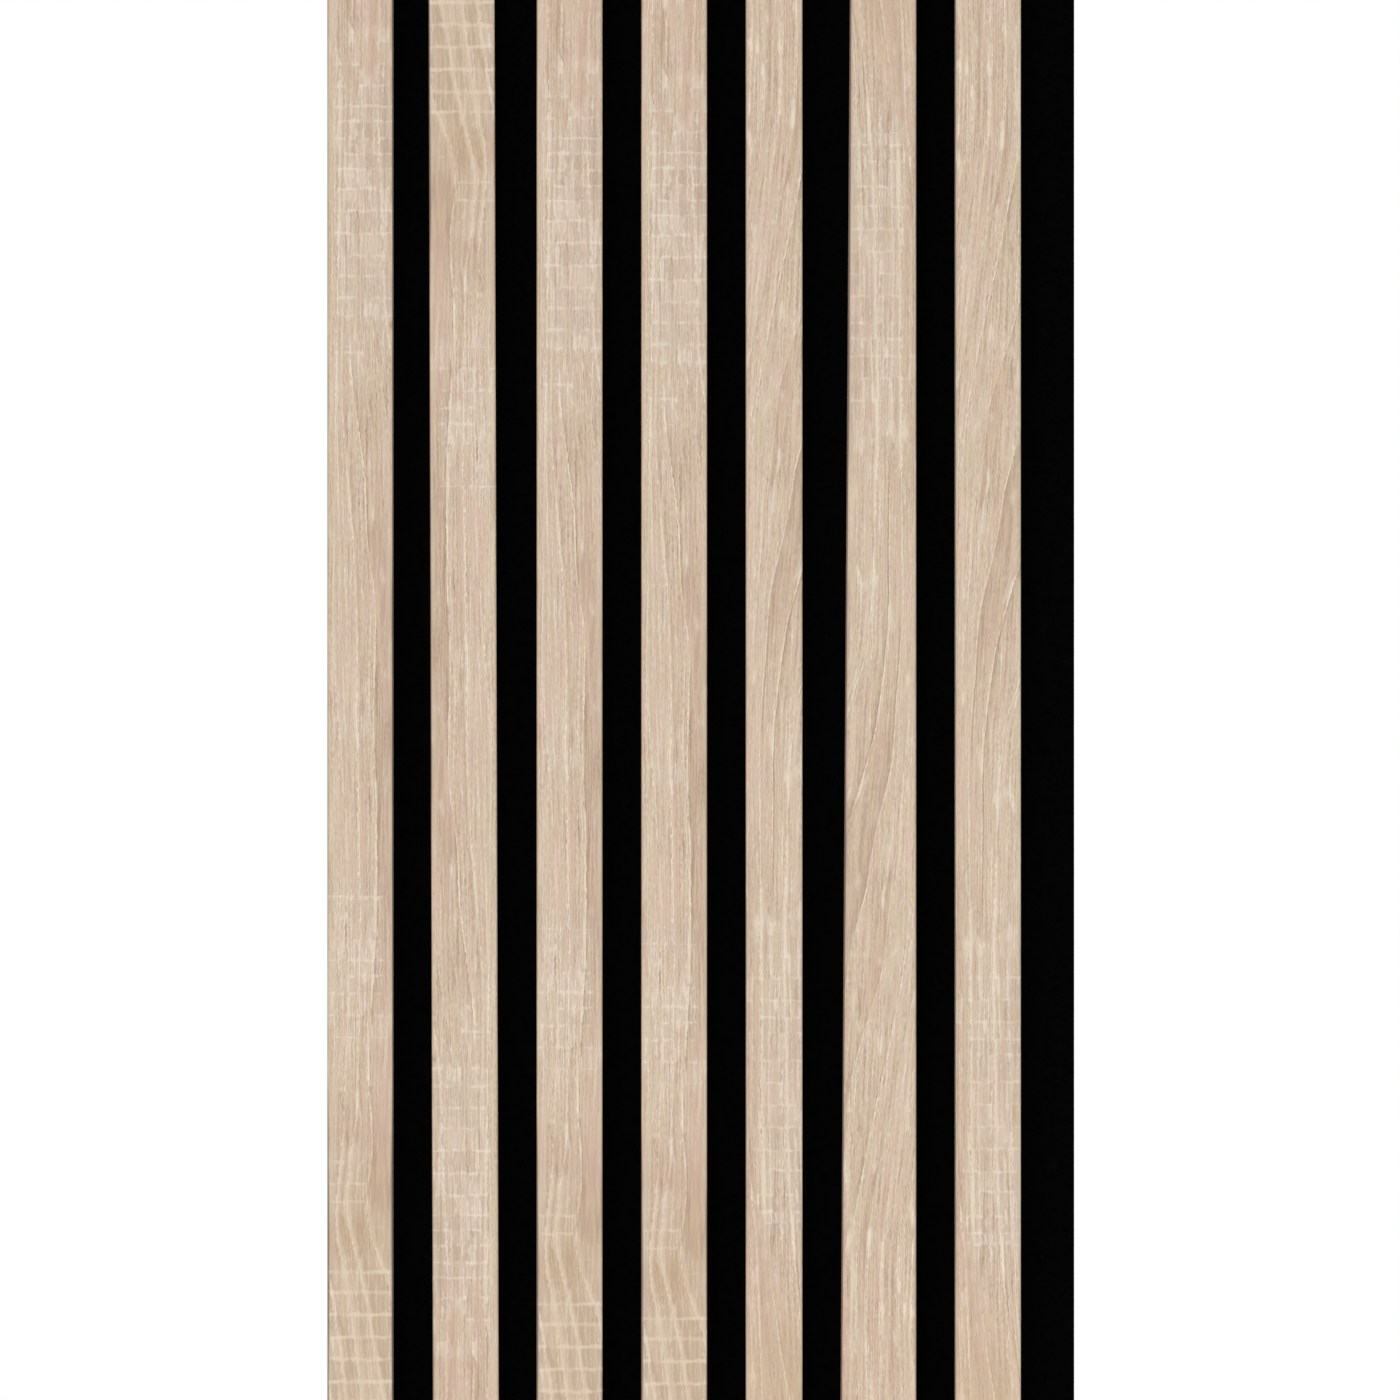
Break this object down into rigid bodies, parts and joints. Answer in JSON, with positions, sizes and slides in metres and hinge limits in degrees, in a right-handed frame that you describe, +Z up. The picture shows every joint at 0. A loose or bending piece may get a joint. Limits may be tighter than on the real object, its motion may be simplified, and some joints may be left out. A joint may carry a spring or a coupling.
{
  "type": "acoustic slat wall panel",
  "caption": "Flat rectangular wall panel: pale oak-decor slats with rounded front edges, spaced on a black felt backing that absorbs sound in the gaps between them.",
  "frame": {"origin": "middle of the felt's back face, which lies on the wall", "axes": "+Z up along the slats, +X to the right for someone facing the panel, +Y into the wall, so the slats face -Y"},
  "size_m": [0.3, 0.021, 0.6],
  "materials": {
    "oak_decor": "matt pale oak decor foil with rough-sawn marks, wrapped round a fibreboard slat",
    "black_felt": "needled polyester felt, black",
    "staple_steel": "galvanised wire"
  },
  "bodies": {
    "root": {"felt_backing": "black_felt", "slat_1": "oak_decor", "slat_2": "oak_decor", "slat_3": "oak_decor", "slat_4": "oak_decor", "slat_5": "oak_decor", "slat_6": "oak_decor", "slat_7": "oak_decor", "slat_staples": "staple_steel"}
  },
  "joints": []
}
